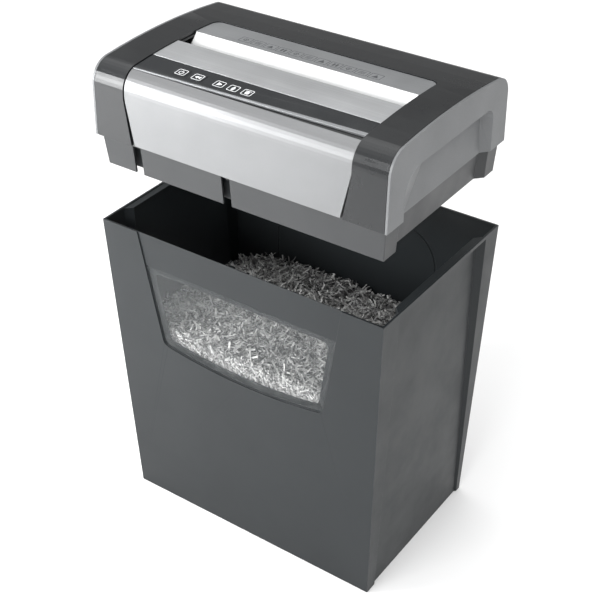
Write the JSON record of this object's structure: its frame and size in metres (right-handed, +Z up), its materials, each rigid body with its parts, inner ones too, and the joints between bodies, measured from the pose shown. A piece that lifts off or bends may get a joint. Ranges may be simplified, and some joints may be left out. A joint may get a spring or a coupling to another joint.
{
  "type": "paper shredder",
  "caption": "Cross-cut paper shredder: a motor head with a feed slot and touch keys, lifted off a tapered bin with a window and shredded paper inside.",
  "frame": {"origin": "centre of the bin's footprint, on the floor", "axes": "+Z up, -Y the front with the window and the keys, +X to the right of someone facing the front"},
  "size_m": [0.35, 0.226, 0.5474],
  "materials": {
    "bin_shell": "satin moulded, dark grey",
    "window": "clear tinted, polished",
    "paper": "loose cross-cut strips",
    "housing": "fine texture",
    "frame_shell": "satin gunmetal",
    "side_shell": "satin mid grey",
    "silver_panel": "metallic silver, satin",
    "silver_trim": "metallic silver, satin",
    "rear_silver": "metallic silver, satin",
    "gloss_black": "polished",
    "white_guide": "satin white",
    "black_plastic": "fine texture",
    "lens": "translucent",
    "circuit": "lacquered board",
    "steel": "machined",
    "zinc_steel": "zinc plated",
    "spring_steel": "drawn wire",
    "bronze": "sintered bronze",
    "nylon": "moulded",
    "cover_plastic": "translucent",
    "rubber": "moulded",
    "wire": "insulated wire",
    "switch_blue": "moulded",
    "plunger_red": "moulded"
  },
  "bodies": {
    "bin": {"bin_tub": "bin_shell", "bin_window": "window", "paper_shreds": "paper"},
    "head": {"lower_housing": "housing", "top_frame": "frame_shell", "inner_deck": "black_plastic", "side_panel_left": "side_shell", "side_panel_right": "side_shell", "front_panel": "silver_panel", "trim_strip": "silver_trim", "control_strip": "gloss_black", "name_strip": "silver_panel", "rear_panel": "rear_silver", "guide_rear": "white_guide", "guide_front": "black_plastic", "rear_vent": "black_plastic", "cord_gland": "black_plastic", "power_spring": "spring_steel", "reverse_spring": "spring_steel", "indicator_lenses": "lens", "control_board": "circuit", "main_board": "circuit", "paper_sensor": "black_plastic", "plate_left": "zinc_steel", "plate_right": "zinc_steel", "tie_rods": "steel", "plate_screws": "zinc_steel", "shaft_bushes": "bronze", "stripper_front": "black_plastic", "stripper_rear": "black_plastic", "gear_pins": "steel", "gear_cover": "cover_plastic", "motor_can": "zinc_steel", "thermal_cutout": "black_plastic", "rubber_mounts": "rubber", "interlock_switch": "switch_blue", "interlock_spring": "spring_steel", "wiring_loom": "wire", "housing_screws": "zinc_steel"},
    "power_button": {"power_key": "gloss_black"},
    "reverse_button": {"reverse_key": "gloss_black"},
    "interlock_pin": {"interlock_plunger": "plunger_red"},
    "cutter_front": {"shaft_front": "steel", "discs_front": "steel", "spacers_front": "nylon", "sync_gear_front": "steel"},
    "cutter_rear": {"shaft_rear": "steel", "discs_rear": "steel", "spacers_rear": "nylon", "sync_gear_rear": "steel", "final_gear": "steel"},
    "second_stage": {"second_gear": "nylon"},
    "first_stage": {"first_gear": "nylon"},
    "rotor": {"motor_rotor": "steel", "motor_pinion": "bronze", "motor_fan": "black_plastic"}
  },
  "joints": [
    {"name": "head_lift", "type": "slide", "parent": "bin", "child": "head", "axis": [0, 0, 1], "range_m": [-0.0995, 0.1]},
    {"name": "power_key_press", "type": "slide", "parent": "head", "child": "power_button", "axis": [0, 0, 1], "range_m": [-0.0008, 0], "stiffness_N_per_m": 300, "springref_m": 0.002, "deforming": ["power_spring"]},
    {"name": "reverse_key_press", "type": "slide", "parent": "head", "child": "reverse_button", "axis": [0, 0, 1], "range_m": [-0.0008, 0], "stiffness_N_per_m": 300, "springref_m": 0.002, "deforming": ["reverse_spring"]},
    {"name": "interlock_press", "type": "slide", "parent": "head", "child": "interlock_pin", "axis": [0, 0, 1], "range_m": [0, 0.003], "stiffness_N_per_m": 250, "springref_m": -0.003, "deforming": ["interlock_spring"]},
    {"name": "cutter_rear_spin", "type": "hinge", "parent": "head", "child": "cutter_rear", "pos_m": [0, 0.0005, 0.499], "axis": [1, 0, 0], "continuous": true},
    {"name": "cutter_front_spin", "type": "hinge", "parent": "head", "child": "cutter_front", "pos_m": [0, -0.0275, 0.499], "axis": [1, 0, 0], "continuous": true},
    {"name": "second_stage_spin", "type": "hinge", "parent": "head", "child": "second_stage", "pos_m": [0, 0.03558, 0.5071], "axis": [1, 0, 0], "continuous": true},
    {"name": "first_stage_spin", "type": "hinge", "parent": "head", "child": "first_stage", "pos_m": [0, 0.06221, 0.51575], "axis": [1, 0, 0], "continuous": true},
    {"name": "rotor_spin", "type": "hinge", "parent": "head", "child": "rotor", "pos_m": [0, 0.07827, 0.49791], "axis": [1, 0, 0], "continuous": true}
  ],
  "couplings": [
    {"joint": "cutter_front_spin", "follows": "cutter_rear_spin", "ratio": -1},
    {"joint": "second_stage_spin", "follows": "cutter_rear_spin", "ratio": -3},
    {"joint": "first_stage_spin", "follows": "cutter_rear_spin", "ratio": 11},
    {"joint": "rotor_spin", "follows": "cutter_rear_spin", "ratio": -55}
  ]
}
